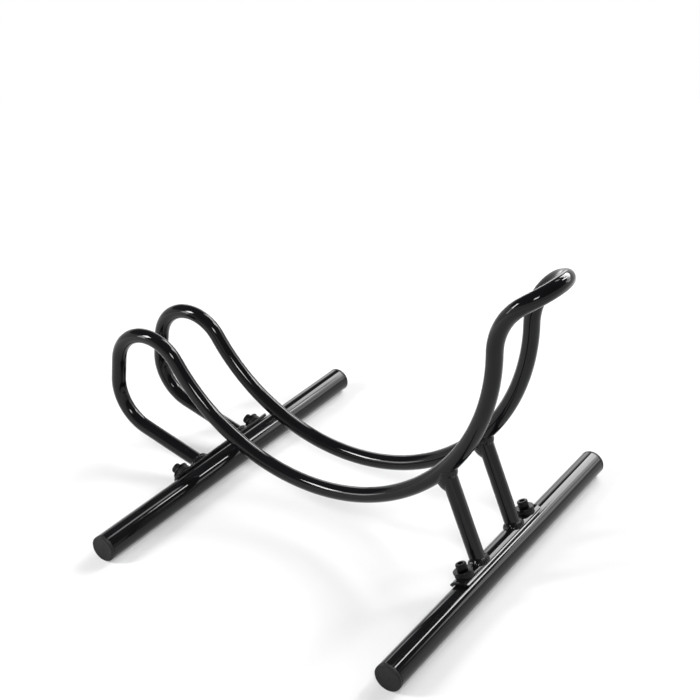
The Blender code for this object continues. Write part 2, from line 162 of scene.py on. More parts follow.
# Smoothness; thread steps are counted over one turn
CHORD_ERROR = 0.00002
BAR_SIDES = 40
POST_SIDES = 48
TUBE_SIDES = 96
CAP_SIDES = 64
SCREW_SIDES = KNURL_COUNT * 4
THREAD_STEPS = 6
DISC_SIDES = 48
SPACER_STEPS = 6
ROUND_STEPS = 4
WELD_STEPS = 10
WELD_SIDES = 168
STRAP_STEPS = 20
STRAP_END_STEPS = 8
SHARP_ANGLE = math.radians(38)

# Sockets of a Mix node that carry colours
MIX_COLOUR_INPUTS = (6, 7)
MIX_COLOUR_OUTPUT = 2

# Directions
QUARTER = math.pi / 2
DOWN = math.radians(270)

# Sizes that follow
BORE_RADIUS = TUBE_RADIUS - TUBE_WALL
SCREW_HOLE_RADIUS = SCREW_RADIUS + CLEARANCE
INSERT_HOLE_RADIUS = SCREW_HOLE_RADIUS + (INSERT_WALL + CLEARANCE)
HOLE_MARGIN = SPACER_RADIUS / 2
POST_CORE = POST_RADIUS / 3
WELD_ROOT = POST_RADIUS / 4
SOCKET_TIP_RADIUS = SOCKET_WIDTH / 8
SOCKET_TIP_DEPTH = SOCKET_WIDTH / 5

# A saddle seen along its tube is an arc, with its centre at an offset from the tube's axis
SEAT_HALF = SADDLE_SEAT_WIDTH / 2
SEAT_EDGE_HEIGHT = math.sqrt((TUBE_RADIUS + CLEARANCE) ** 2 - SEAT_HALF ** 2)
SEAT_RISE = TUBE_RADIUS + SADDLE_LIFT - SEAT_EDGE_HEIGHT
SADDLE_INNER = (SEAT_HALF ** 2 + SEAT_RISE ** 2) / (2 * SEAT_RISE)
SADDLE_OFFSET = TUBE_RADIUS + SADDLE_LIFT - SADDLE_INNER
SADDLE_OUTER = SADDLE_INNER + SADDLE_THICKNESS
SADDLE_MID = (SADDLE_OUTER + SADDLE_INNER) / 2
SADDLE_HALF_WIDTH = SADDLE_OUTER * SADDLE_SEAT_WIDTH / 2 / SADDLE_INNER

# Heights along a screw, from the tube's axis
SADDLE_CREST = SADDLE_OFFSET + SADDLE_OUTER
SPACER_TOP = SADDLE_CREST + CLEARANCE + SPACER_HEIGHT
WASHER_LOW = SPACER_TOP + CLEARANCE
WASHER_TOP = WASHER_LOW + WASHER_THICKNESS
HEAD_LOW = WASHER_TOP + CLEARANCE

# Materials. A pattern is a noise: cells for each metre, detail and roughness. A range carries
# a value from its first two numbers to its last two. Heights are those of a bump.
PAINT_IOR = 1.31
PAINT_COLOURS = ((0.0030, 0.0030, 0.0035), (0.0065, 0.0065, 0.0073))
PAINT_CLOUDS = (45.0, 2.0, 0.5)
DUST_COLOUR = (0.060, 0.060, 0.062)
DUST_SPECKS = (900.0, 4.0, 0.7)
DUST_RANGE = (0.62, 0.85, 0.0, 0.15)
DUST_TILT_RANGE = (0.2, 0.9, 0.0, 1.0)
DUST_ROUGHNESS = 0.5
SMUDGES = (38.0, 3.0, 0.6)
SMUDGE_ROUGHNESS = (0.35, 0.70, 0.045, 0.08)
PEEL = (240.0, 1.0, 0.4)
PEEL_HEIGHT = 0.000006
PAINT_GRAIN = (2600.0, 2.0, 0.6)
PAINT_GRAIN_HEIGHT = 0.000001
BEAD_GRAIN = (800.0, 2.0, 0.5)
BEAD_GRAIN_HEIGHT = 0.000012

PLASTIC_IOR = 1.33
PLASTIC_COLOURS = ((0.004, 0.004, 0.0045), (0.008, 0.008, 0.009))
PLASTIC_CLOUDS = (160.0, 3.0, 0.5)
SCUFF_COLOUR = (0.020, 0.020, 0.0215)
SCUFF_EDGE_RANGE = (0.52, 0.60, 0.0, 0.5)
SCUFFS = (700.0, 3.0, 0.7)
SCUFF_RANGE = (0.40, 0.60, 0.2, 1.0)
PLASTIC_PATCHES = (300.0, 3.0, 0.5)
PLASTIC_ROUGHNESS = (0.3, 0.7, 0.46, 0.60)
PLASTIC_GRAIN = (5200.0, 2.0, 0.6)
PLASTIC_GRAIN_HEIGHT = 0.00003

OXIDE_IOR = 1.25
OXIDE_METALLIC = 0.6
OXIDE_COLOURS = ((0.004, 0.004, 0.0045), (0.011, 0.011, 0.012))
OXIDE_CLOUDS = (500.0, 4.0, 0.6)
OXIDE_WORN_COLOUR = (0.16, 0.16, 0.166)
OXIDE_EDGE_RANGE = (0.53, 0.66, 0.0, 0.5)
OXIDE_PATCHES = (420.0, 3.0, 0.5)
OXIDE_ROUGHNESS = (0.3, 0.7, 0.24, 0.42)
OXIDE_GRAIN = (3800.0, 2.0, 0.5)
OXIDE_GRAIN_HEIGHT = 0.00001

PLATE_CLOUDS = (380.0, 4.0, 0.6)
PLATE_EDGE_RANGE = (0.52, 0.62, 0.0, 0.5)
PLATE_PATCHES = (900.0, 3.0, 0.5)
PLATE_ROUGHNESS = (0.3, 0.7, 0.22, 0.40)
PLATE_GRAIN = (3000.0, 3.0, 0.5)
PLATE_GRAIN_HEIGHT = 0.000012

NYLON_IOR = 1.25
NYLON_COLOURS = ((0.004, 0.004, 0.0045), (0.009, 0.009, 0.010))
NYLON_CLOUDS = (260.0, 3.0, 0.5)
NYLON_PATCHES = (600.0, 2.0, 0.5)
NYLON_ROUGHNESS = (0.3, 0.7, 0.42, 0.56)
NYLON_GRAIN = (4200.0, 2.0, 0.5)
NYLON_GRAIN_HEIGHT = 0.00002

# Plating: two colours that it clouds between, and the rubbed colour
BLACK_ZINC = ((0.006, 0.006, 0.0066), (0.018, 0.018, 0.0194), (0.20, 0.20, 0.205))
BRIGHT_ZINC = ((0.42, 0.43, 0.45), (0.60, 0.61, 0.63), (0.62, 0.62, 0.63))

# Camera: the middle of the picture is a point in the wheel's plane
CAMERA_PLACE = Vector((0.8687, 0.6270, 0.7397))
CAMERA_AIM = Vector((0.0, 0.0303, 0.1754))
CAMERA_ROLL = math.radians(-0.57)
CAMERA_LENS = 68.73

# Floor: its own colour fades out away from the stand, and over the first share of that fade
# its glow rises from the lift to 1
FLOOR_SIZE = 40.0
FLOOR_COLOUR = (0.62, 0.62, 0.62)
FLOOR_FAR_COLOUR = (0.0, 0.0, 0.0)
FLOOR_LIFT = 0.19
FLOOR_FADE_START = 0.5
FLOOR_FADE_END = 1.4
FLOOR_GLOW_SHARE = 0.4

# World: pale walls up to a low height, and a dim ceiling above them
WALLS_END = 0.25
WALLS_COLOUR = (1.0, 1.0, 1.0, 1.0)
CEILING_START = 0.33
CEILING_COLOUR = (0.10, 0.10, 0.105, 1.0)

# Panels of the left softbox wall: place along and up the wall, width, height, radiance
WALL_PLACE = Vector((-1.75, -0.0484, 1.40))
WALL_AIM = Vector((0.0, 0.0016, 0.1))
PANELS = (
    ("main_panel", -0.16, -0.215, 1.24, 0.55, 14.5),
    ("dim_panel", 0.04, 0.175, 0.84, 0.23, 14.0),
    ("step_panel", -0.52, 0.36, 0.20, 0.12, 14.0),
    ("upper_panel", -0.74, 0.36, 0.24, 0.60, 30.0),
    ("top_panel", 0.12, 0.77, 0.45, 0.26, 7.0),
    ("inner_side_panel", -1.05, -0.25, 0.54, 0.60, 7.0),
    ("outer_side_panel", -1.80, -0.42, 0.80, 0.98, 4.2),
    ("low_panel", 1.62, -0.90, 1.70, 0.90, 2.3),
)

# Lamps on the near side, aimed at the origin: bearing and angle above the floor in degrees,
# distance, size, radiance
NEAR_LAMPS = (
    ("front_lamp", -45.0, 36.5, 1.5, (0.20, 0.50), 46.0),
    ("front_low_lamp", -45.0, 16.0, 1.5, (0.20, 0.58), 10.0),
    ("near_lamp", 36.0, 42.0, 2.4, (0.44, 0.44), 32.0),
)


# Bent bar, side view
def polar(angle, length):
    """Point in the side view at an angle and a distance."""
    return Vector((math.cos(angle), math.sin(angle))) * length


def arc(centre, radius, start, end):
    """Points of a side view arc, fine enough for the chord error."""
    step = 2 * math.acos(1 - min(CHORD_ERROR / radius, 1))
    count = max(2, math.ceil(abs(end - start) / step))
    return [centre + polar(start + (end - start) * i / count, radius) for i in range(count + 1)]


def tube_axis(at_back):
    """Centre of a base tube."""
    middle = REAR_MIDDLE if at_back else FRONT_MIDDLE
    return Vector((middle.y, middle.z))


def cradle_centre():
    """Centre of the cradle's arc."""
    return Vector((tube_axis(False).x + CRADLE_SETBACK, CRADLE_HEIGHT))


def front_bend():
    """Centre of the front bend, which joins the cradle in an S, and its last angle."""
    back = DOWN - CRADLE_FRONT_ANGLE
    return cradle_centre() + polar(back, CRADLE_RADIUS + FRONT_BEND_RADIUS), back - math.pi


def upright_corner():
    """Where the upright's line reaches the foot height, and the upright's top."""
    centre, _ = front_bend()
    top = centre + polar(math.pi - UPRIGHT_LEAN, FRONT_BEND_RADIUS)
    return Vector((top.x - (top.y - FOOT_HEIGHT) * math.tan(UPRIGHT_LEAN), FOOT_HEIGHT)), top


def leg_lean():
    """Tilt of the front legs towards the front, from straight up."""
    corner, _ = upright_corner()
    run = corner - tube_axis(False)
    return math.atan2(-run.x, run.y)


def foot_bend():
    """Arc that turns a leg into its upright."""
    corner, top = upright_corner()
    leg_end = tube_axis(False)
    to_leg = (leg_end - corner).normalized()
    to_top = (top - corner).normalized()
    half = math.acos(to_leg.dot(to_top)) / 2
    room = (leg_end - corner).length - BAR_RADIUS - WELD_LEG - SADDLE_CREST
    radius = min(FOOT_BEND_RADIUS, min((top - corner).length, room) * math.tan(half))
    centre = corner + (to_leg + to_top).normalized() * (radius / math.sin(half))
    return arc(centre, radius, math.pi + leg_lean(), math.pi - UPRIGHT_LEAN)


def side_line():
    """Centre line of one side of the bar, from its foot to the end of the top bend."""
    path = [tube_axis(False) + polar(QUARTER + leg_lean(), SADDLE_OFFSET)]
    path += foot_bend()
    centre, last = front_bend()
    path += arc(centre, FRONT_BEND_RADIUS, math.pi - UPRIGHT_LEAN, last)
    first = DOWN - CRADLE_FRONT_ANGLE
    back = DOWN + CRADLE_BACK_ANGLE
    path += arc(cradle_centre(), CRADLE_RADIUS, first, back)[1:]
    centre = path[-1] + polar(back, TOP_BEND_RADIUS)
    path += arc(centre, TOP_BEND_RADIUS, back - math.pi, TOP_RISE + QUARTER)[1:]
    return path


def walk(path, length):
    """Point at a length from the end of a path; beyond the end it goes straight on."""
    ahead = (path[-1] - path[-2]).normalized()
    if length >= 0:
        return path[-1] + ahead * length
    rest = -length
    for i in range(len(path) - 1, 0, -1):
        run = path[i - 1] - path[i]
        if rest <= run.length:
            return path[i] + run * (rest / run.length)
        rest -= run.length
    return path[0]


def bar_path():
    """Centre line of the whole bar, from the right foot over the hairpin to the left foot."""
    side = side_line()
    start = HAIRPIN_NOSE - BAR_X
    total = 0.0
    keep = len(side)
    while keep > 1 and total < -start:
        total += (side[keep - 1] - side[keep - 2]).length
        keep -= 1
    right = [Vector((BAR_X, p.x, p.y)) for p in side[:keep]]
    for point in arc(Vector((0, 0)), BAR_X, 0, QUARTER)[:-1]:
        flat = walk(side, start + point.y)
        right.append(Vector((point.x, flat.x, flat.y)))
    nose = walk(side, HAIRPIN_NOSE)
    left = [Vector((-p.x, p.y, p.z)) for p in reversed(right)]
    return right + [Vector((0, nose.x, nose.y))] + left


# Shapes
def build_object(name, points, faces, material):
    """Object from points and faces, with its faces turned out."""
    mesh = bpy.data.meshes.new(name)
    mesh.from_pydata([tuple(p) for p in points], [], faces)
    work = bmesh.new()
    work.from_mesh(mesh)
    bmesh.ops.recalc_face_normals(work, faces=work.faces)
    work.to_mesh(mesh)
    work.free()
    item = bpy.data.objects.new(name, mesh)
    bpy.context.scene.collection.objects.link(item)
    item.data.materials.append(material)
    return shade(item)


def shade(item):
    """Smooth shading, apart from the sharp edges."""
    item.data.shade_smooth()
    item.data.set_sharp_from_angle(angle=SHARP_ANGLE)
    return item


def skin(rings, closed):
    """Faces over rings of equal length; open skins are capped at both ends."""
    sides = len(rings[0])
    count = len(rings)
    faces = []
    for i in range(count if closed else count - 1):
        a = i * sides
        b = (i + 1) % count * sides
        for j in range(sides):
            k = (j + 1) % sides
            faces.append((a + j, a + k, b + k, b + j))
    if not closed:
        faces.append(tuple(range(sides)))
        faces.append(tuple(range((count - 1) * sides, count * sides)))
    return [p for ring in rings for p in ring], faces


def turned(name, profile, sides, material, closed=False):
    """Body turned about Z; a radius may follow the angle, and a height the place."""
    rings = []
    for radius, height in profile:
        ring = []
        for j in range(sides):
            angle = 2 * math.pi * j / sides
            reach = radius(angle) if callable(radius) else radius
            x = reach * math.cos(angle)
            y = reach * math.sin(angle)
            ring.append(Vector((x, y, height(x, y) if callable(height) else height)))
        rings.append(ring)
    return build_object(name, *skin(rings, closed), material)


def rounded(corner_radius, corner_height, size, start, end):
    """Profile points of a rounded edge about its centre, by angle from straight out."""
    points = []
    for i in range(ROUND_STEPS + 1):
        bow = polar(start + (end - start) * i / ROUND_STEPS, size)
        points.append((corner_radius + bow.x, corner_height + bow.y))
    return points


def eased_ring(inner, outer, low, high, ease, stops=()):
    """Closed profile of a ring with round edges; stops are more heights on its outside."""
    profile = rounded(outer - ease, low + ease, ease, -QUARTER, 0)
    profile += [(outer, height) for height in stops]
    profile += rounded(outer - ease, high - ease, ease, 0, QUARTER)
    profile += rounded(inner + ease, high - ease, ease, QUARTER, 2 * QUARTER)
    profile += rounded(inner + ease, low + ease, ease, 2 * QUARTER, 3 * QUARTER)
    return profile


def moved(item, matrix):
    """Moves an item's mesh, so that the item itself keeps its place."""
    item.data.transform(matrix)
    return item


def drilled(item, radius, depth, material, *steps):
    """Cuts a round hole that starts at Z = 0, carried there by the steps in turn."""
    tool = turned("hole", [(radius, 0.0), (radius, depth)], POST_SIDES, material)
    for step in steps:
        moved(tool, step)
    modifier = item.modifiers.new("difference", "BOOLEAN")
    modifier.object = tool
    modifier.operation = "DIFFERENCE"
    modifier.solver = "EXACT"
    bpy.context.view_layer.update()
    shaped = item.evaluated_get(bpy.context.evaluated_depsgraph_get())
    old = item.data
    item.data = bpy.data.meshes.new_from_object(shaped)
    item.modifiers.clear()
    bpy.data.meshes.remove(old)
    bpy.data.meshes.remove(tool.data)
    return shade(item)


def settled(item, slot, *nodes):
    """Puts a finished piece on the stand, in place of its CAD nodes."""
    item.modifiers.new("even_shading", "WEIGHTED_NORMAL").keep_sharp = True
    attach(item, "root")
    if nodes:
        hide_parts(*nodes)
    return item


# Stations: local Z points from a tube's axis through its saddle
def station_lean(at_back):
    """Tilt of what stands on a saddle, towards the front."""
    return POST_LEAN if at_back else leg_lean()


def station(at_back, x=0.0):
    """Place of a station at some distance along its tube."""
    axis = tube_axis(at_back)
    return Matrix.Translation((x, axis.x, axis.y)) @ Matrix.Rotation(station_lean(at_back), 4, "X")


def over_saddle(gap):
    """Height of the surface that lies over a saddle at some gap, across the tube."""
    return lambda x, y: SADDLE_OFFSET + math.sqrt((SADDLE_OUTER + gap) ** 2 - y ** 2)


def post_joint():
    """Length from the back tube's axis to the cradle's centre line, and the slope there."""
    start = tube_axis(True) - cradle_centre()
    ahead = polar(QUARTER + POST_LEAN, 1)
    across = start.dot(ahead)
    length = -across - math.sqrt(across ** 2 - start.length_squared + CRADLE_RADIUS ** 2)
    meet = start + ahead * length
    return length, math.atan2(meet.y, meet.x) + QUARTER - POST_LEAN


def under_bar(x, y):
    """Height where a post meets the underside of the bar."""
    length, slope = post_joint()
    drop = math.sqrt(max(BAR_RADIUS ** 2 - x ** 2, 0) + COPE_EASE ** 2) / math.cos(slope)
    return length + y * math.tan(slope) - drop


# Welds
def settle(point, core, radius):
    """Nearest point of a round surface, and the way out of it there."""
    centre = core(point)
    out = (point - centre).normalized()
    return centre + out * radius, out


def weld_bead(name, seam, stem, ground, size, side, material):
    """Bead with overlapping ripples along the closed seam between two round surfaces.

    The bead grows thicker and thinner along the seam, each bead from another start, which is
    the length of its name.
    """
    seams = [seam(2 * math.pi * i / WELD_SIDES) for i in range(WELD_SIDES)]
    steps = [(seams[i] - seams[i - 1]).length for i in range(WELD_SIDES)]
    ripples = round(sum(steps) / WELD_PITCH)
    run = 0.0
    rings = []
    for i, here in enumerate(seams):
        angle = 2 * math.pi * i / WELD_SIDES
        ahead = (seams[(i + 1) % WELD_SIDES] - seams[i - 1]).normalized()
        run += steps[i] / sum(steps)
        wander = 1 + WELD_WANDER * math.sin(WELD_WANDER_COUNT * angle + len(name))
        leg, reach = size(angle)
        _, out_stem = settle(here, *stem)
        _, out_ground = settle(here, *ground)
        first, _ = settle(here + out_stem.cross(ahead) * side * leg * wander, *stem)
        last, _ = settle(here + ahead.cross(out_ground) * side * reach * wander, *ground)
        crown = (out_stem + out_ground).normalized()
        ring = []
        for k in range(WELD_STEPS + 1):
            share = k / WELD_STEPS
            bow = WELD_BOW * (2 * share - 1) ** 2
            ripple = abs(math.sin(math.pi * ripples * run + bow))
            lift = WELD_CROWN * 4 * share * (1 - share) * (1 + WELD_RIPPLE * (ripple - 1))
            ring.append(first.lerp(last, share) + crown * lift)
        ring.append(here - crown * WELD_ROOT)
        rings.append(ring)
    return build_object(name, *skin(rings, True), material)


def stem_core(point):
    """Middle of a post or foot at a point's height, in a station's frame."""
    return Vector((0, 0, point.z))


def saddle_core(point):
    """Middle of the saddle's arc beside a point, in a station's frame."""
    return Vector((point.x, 0, SADDLE_OFFSET))


def cradle_core(point):
    """Nearest point of the cradle's centre line, in the back station's frame."""
    local = station(True).inverted() @ Vector((0, *cradle_centre()))
    away = Vector((0, point.y, point.z)) - local
    return local + away.normalized() * CRADLE_RADIUS


def foot_weld(name, at_back, x, radius, material):
    """Weld round a post or a foot of the bar, on a saddle and no wider than it."""
    edge = SADDLE_HALF_WIDTH - radius - WELD_EDGE_MARGIN
    surface = over_saddle(0)

    def seam(angle):
        px, py = polar(angle, radius)
        return Vector((px, py, surface(px, py)))

    def size(angle):
        return WELD_LEG, WELD_LEG * math.cos(angle) ** 2 + edge * math.sin(angle) ** 2
    stem = (stem_core, radius)
    bead = weld_bead(name, seam, stem, (saddle_core, SADDLE_OUTER), size, 1, material)
    return moved(bead, station(at_back, x))


def blend(angle, flank, front, back):
    """Value that runs round a post from its flanks to its front and back."""
    side = math.sin(angle)
    return flank * math.cos(angle) ** 2 + (back if side > 0 else front) * side ** 2


def top_weld(name, x, material):
    """Weld round the top of a post, long in the crotch under the bar and short beside it."""
    def seam(angle):
        px, py = polar(angle, POST_RADIUS)
        return Vector((px, py, under_bar(px, py)))

    def size(angle):
        leg = blend(angle, FLANK_LEG, CROTCH_LEG, HEEL_LEG)
        return leg, blend(angle, FLANK_REACH, CROTCH_REACH, HEEL_REACH)
    stem = (stem_core, POST_RADIUS)
    bead = weld_bead(name, seam, stem, (cradle_core, BAR_RADIUS), size, -1, material)
    return moved(bead, station(True, x))


# Bent bar and posts
def seated(ring, matrix):
    """Ring whose points are moved along a station's Z until they lie just in the saddle."""
    surface = over_saddle(-OVERLAP)
    back = matrix.inverted()
    local = [back @ p for p in ring]
    return [matrix @ Vector((p.x, p.y, surface(p.x, p.y))) for p in local]


def bent_bar(material):
    """Round bar along its centre line, without twist, with both feet on the front saddle."""
    path = bar_path()
    last = len(path) - 1
    rings = []
    across = Vector((1, 0, 0))
    for i, point in enumerate(path):
        along = (path[min(i + 1, last)] - path[max(i - 1, 0)]).normalized()
        across = (across - along * across.dot(along)).normalized()
        side = along.cross(across)
        ring = []
        for j in range(BAR_SIDES):
            angle = 2 * math.pi * j / BAR_SIDES
            ring.append(point + (across * math.cos(angle) + side * math.sin(angle)) * BAR_RADIUS)
        rings.append(ring)
    for end in (0, last):
        rings[end] = seated(rings[end], station(False))
    item = build_object("bent_bar", *skin(rings, False), material)
    return settled(item, "frame_paint", "wheel_hoop")


def post(name, x, node, material):
    """Round post from the back saddle to the underside of the bar, shaped to both."""
    low = over_saddle(-OVERLAP)

    def high(px, py):
        return under_bar(px, py) + 2 * OVERLAP
    profile = [(POST_CORE, low), (POST_RADIUS, low), (POST_RADIUS, high), (POST_CORE, high)]
    item = turned(name, profile, POST_SIDES, material)
    return settled(moved(item, station(True, x)), "frame_paint", node)


# Saddles
def strap_side(sign, flat, round_size, corners):
    """Points of the two round edges at one side of a saddle's section."""
    points = []
    for radius, first, end, steps in corners:
        for k in steps:
            bow = polar(first + (end - first) * k / ROUND_STEPS, round_size)
            points.append((QUARTER + sign * (flat + bow.x / SADDLE_MID), radius + bow.y))
    return points


def strap_ring(x, half_width, inset):
    """Section of a saddle with round edges, made smaller all round by an inset."""
    round_size = SADDLE_EDGE_ROUND - inset if inset < SADDLE_EDGE_ROUND else 0.0
    half_angle = math.asin(half_width / SADDLE_OUTER)
    outer = SADDLE_OUTER - inset
    inner = SADDLE_INNER + inset
    turn = (inset + round_size) / SADDLE_MID
    flat = half_angle - turn
    outer_edge = outer - round_size
    inner_edge = inner + round_size
    after = range(1, ROUND_STEPS + 1)
    before = range(ROUND_STEPS)
    going_in = ((outer_edge, QUARTER, 0.0, after), (inner_edge, 0.0, -QUARTER, before))
    going_out = ((inner_edge, -QUARTER, 0.0, after), (outer_edge, 0.0, QUARTER, before))
    shares = [1 - 2 * i / STRAP_STEPS for i in range(STRAP_STEPS + 1)]
    points = [(QUARTER + flat * share, outer) for share in shares]
    points += strap_side(-1, flat, round_size, going_in)
    points += [(QUARTER - flat * share, inner) for share in shares]
    points += strap_side(1, flat, round_size, going_out)
    ring = []
    for angle, radius in points:
        height = SADDLE_OFFSET + radius * math.sin(angle)
        ring.append(Vector((x, radius * math.cos(angle), height)))
    return ring


def strap_stations():
    """Sections of a saddle's right half: place along it, half width and inset."""
    corner = SADDLE_CORNER_RADIUS
    ease = SADDLE_EDGE_ROUND
    stations = []
    for i in range(STRAP_END_STEPS):
        angle = QUARTER * (1 - i / STRAP_END_STEPS)
        reach = SADDLE_HALF_LENGTH - ease * (1 - math.sin(angle))
        stations.append((reach, SADDLE_HALF_WIDTH - corner, ease * (1 - math.cos(angle))))
    for i in range(STRAP_END_STEPS + 1):
        angle = QUARTER * i / STRAP_END_STEPS
        reach = SADDLE_HALF_LENGTH - ease - (corner - ease) * (1 - math.cos(angle))
        stations.append((reach, SADDLE_HALF_WIDTH - corner + corner * math.sin(angle), 0.0))
    for offset in (HOLE_MARGIN, -HOLE_MARGIN):
        stations.append((SCREW_X + offset, SADDLE_HALF_WIDTH, 0.0))
    return stations


def saddle(name, at_back, node, material):
    """Curved strap with round corners and a screw hole at each end."""
    stations = strap_stations()
    rings = [strap_ring(*entry) for entry in stations]
    rings += [strap_ring(-x, width, inset) for x, width, inset in reversed(stations)]
    item = build_object(name, *skin(rings, False), material)
    for side in (1, -1):
        place = Matrix.Translation((side * SCREW_X, 0, 0))
        drilled(item, SCREW_HOLE_RADIUS, 2 * SADDLE_CREST, material, place)
    return settled(moved(item, station(at_back)), "frame_paint", node)


# Base tubes and caps
def base_tube(name, at_back, node, material):
    """Open tube with eased ends and one hole in its wall for each threaded insert."""
    half = TUBE_HALF_LENGTH
    near = SADDLE_HALF_LENGTH - TUBE_END_ROUND
    far = SCREW_X - SPACER_RADIUS
    stops = (-near, -far, far, near)
    profile = eased_ring(BORE_RADIUS, TUBE_RADIUS, -half, half, TUBE_END_ROUND, stops)
    item = turned(name, profile, TUBE_SIDES, material, closed=True)
    moved(item, Matrix.Rotation(QUARTER, 4, "Y"))
    lean = Matrix.Rotation(station_lean(at_back), 4, "X")
    for side in (1, -1):
        place = Matrix.Translation((side * SCREW_X, 0, 0))
        drilled(item, INSERT_HOLE_RADIUS, 2 * TUBE_RADIUS, material, place, lean)
    axis = tube_axis(at_back)
    moved(item, Matrix.Translation((0, axis.x, axis.y)))
    return settled(item, "frame_paint", node)


def end_cap(name, at_back, side, node, material):
    """Push-in cap: shallow dished face with a gate mark, round rim, plug with grip ribs."""
    rib = BORE_RADIUS - CLEARANCE
    plug = rib - CAP_RIB_HEIGHT
    hollow = plug - CAP_PLUG_WALL
    face = CAP_HEAD - CAP_DISH
    profile = [
        (CAP_GATE_RADIUS / 2, face + CAP_GATE_HEIGHT),
        (CAP_GATE_RADIUS, face + CAP_GATE_HEIGHT),
        (CAP_GATE_RADIUS * CAP_GATE_FOOT, face),
        (CAP_DISH_RADIUS - 2 * CAP_DISH, face),
        (CAP_DISH_RADIUS, CAP_HEAD),
    ]
    rim = TUBE_RADIUS - CAP_EDGE_RADIUS
    profile += rounded(rim, CAP_HEAD - CAP_EDGE_RADIUS, CAP_EDGE_RADIUS, QUARTER, 0)
    profile += [(TUBE_RADIUS, 0.0), (plug, 0.0)]
    for i in range(CAP_RIB_COUNT):
        top = -CAP_RIB_PITCH * (i + 1) + CAP_RIB_LENGTH
        profile += [(plug, top), (rib, top - CAP_RIB_HEIGHT), (plug, top - CAP_RIB_LENGTH)]
    profile += [(plug, -CAP_PLUG_LENGTH), (hollow, -CAP_PLUG_LENGTH), (hollow, 0.0)]
    item = turned(name, profile, CAP_SIDES, material)
    axis = tube_axis(at_back)
    place = Matrix.Translation((side * (TUBE_HALF_LENGTH + CLEARANCE), axis.x, axis.y))
    moved(item, place @ Matrix.Rotation(side * QUARTER, 4, "Y"))
    return settled(item, "cap_plastic", node)


# Fasteners
def on_screw_axis(item, at_back, side, slot, node):
    """Puts a piece of a fastener at one end of a saddle."""
    return settled(moved(item, station(at_back, side * SCREW_X)), slot, node)


def socket(grow):
    """Radius of the hexagon socket, grown by the lead-in, as a function of the angle."""
    def radius(angle):
        sector = math.pi / 3
        return SOCKET_WIDTH / 2 / math.cos((angle + sector / 2) % sector - sector / 2) + grow
    return radius


def knurl(radius):
    """Radius of the knurled head, as a function of the angle."""
    return lambda angle: radius - KNURL_DEPTH * abs(math.sin(KNURL_COUNT * angle / 2))


def thread(height):
    """Radius of the screw's thread at a height, as a function of the angle."""
    def radius(angle):
        turn = (height / SCREW_PITCH - angle / (2 * math.pi)) % 1.0
        return SCREW_RADIUS - THREAD_DEPTH * min(1.0, THREAD_FLANK * abs(turn - 0.5))
    return radius


def cap_screw(name, at_back, side, node, material):
    """Socket head cap screw: threaded shank, knurled head, hexagon socket with a drill tip."""
    tip = HEAD_LOW - SCREW_LENGTH
    top = HEAD_LOW + HEAD_HEIGHT
    core = SCREW_RADIUS - THREAD_DEPTH
    plain = HEAD_RADIUS - KNURL_DEPTH
    cut = HEAD_CHAMFER
    profile = [(core - cut, tip), (core, tip + cut / 2)]
    count = round(THREAD_LENGTH / SCREW_PITCH * THREAD_STEPS)
    for i in range(count + 1):
        height = tip + cut + THREAD_LENGTH * i / count
        profile.append((thread(height), height))
    profile += [
        (SCREW_RADIUS, tip + cut + THREAD_LENGTH + SCREW_PITCH),
        (SCREW_RADIUS, HEAD_LOW),
        (HEAD_RADIUS - cut, HEAD_LOW),
        (plain, HEAD_LOW + cut),
        (knurl(HEAD_RADIUS), HEAD_LOW + KNURL_LOW * cut),
        (knurl(HEAD_RADIUS), top - KNURL_HIGH * cut),
        (plain, top - KNURL_TOP * cut),
    ]
    profile += rounded(plain - cut, top - cut, cut, 0, QUARTER)
    profile += [
        (socket(SOCKET_LEAD), top),
        (socket(0.0), top - SOCKET_LEAD),
        (socket(0.0), top - SOCKET_DEPTH),
        (SOCKET_TIP_RADIUS, top - SOCKET_DEPTH - SOCKET_TIP_DEPTH),
    ]
    item = turned(name, profile, SCREW_SIDES, material)
    return on_screw_axis(item, at_back, side, "screw_steel", node)


def washer(name, at_back, side, node, material):
    """Flat washer with round edges."""
    profile = eased_ring(SCREW_HOLE_RADIUS, WASHER_RADIUS, WASHER_LOW, WASHER_TOP, WASHER_ROUND)
    item = turned(name, profile, DISC_SIDES, material, closed=True)
    return on_screw_axis(item, at_back, side, "washer_steel", node)


def curved_spacer(name, at_back, side, node, material):
    """Disc whose under side follows the saddle, so that the washer lies flat."""
    follow = over_saddle(CLEARANCE)
    width = SPACER_RADIUS - SCREW_HOLE_RADIUS
    profile = [(SCREW_HOLE_RADIUS, SPACER_TOP)]
    for i in range(SPACER_STEPS + 1):
        profile.append((SCREW_HOLE_RADIUS + width * i / SPACER_STEPS, follow))
    ease = SPACER_ROUND
    profile += rounded(SPACER_RADIUS - ease, SPACER_TOP - ease, ease, 0, QUARTER)
    item = turned(name, profile, DISC_SIDES, material, closed=True)
    return on_screw_axis(item, at_back, side, "spacer_plastic", node)


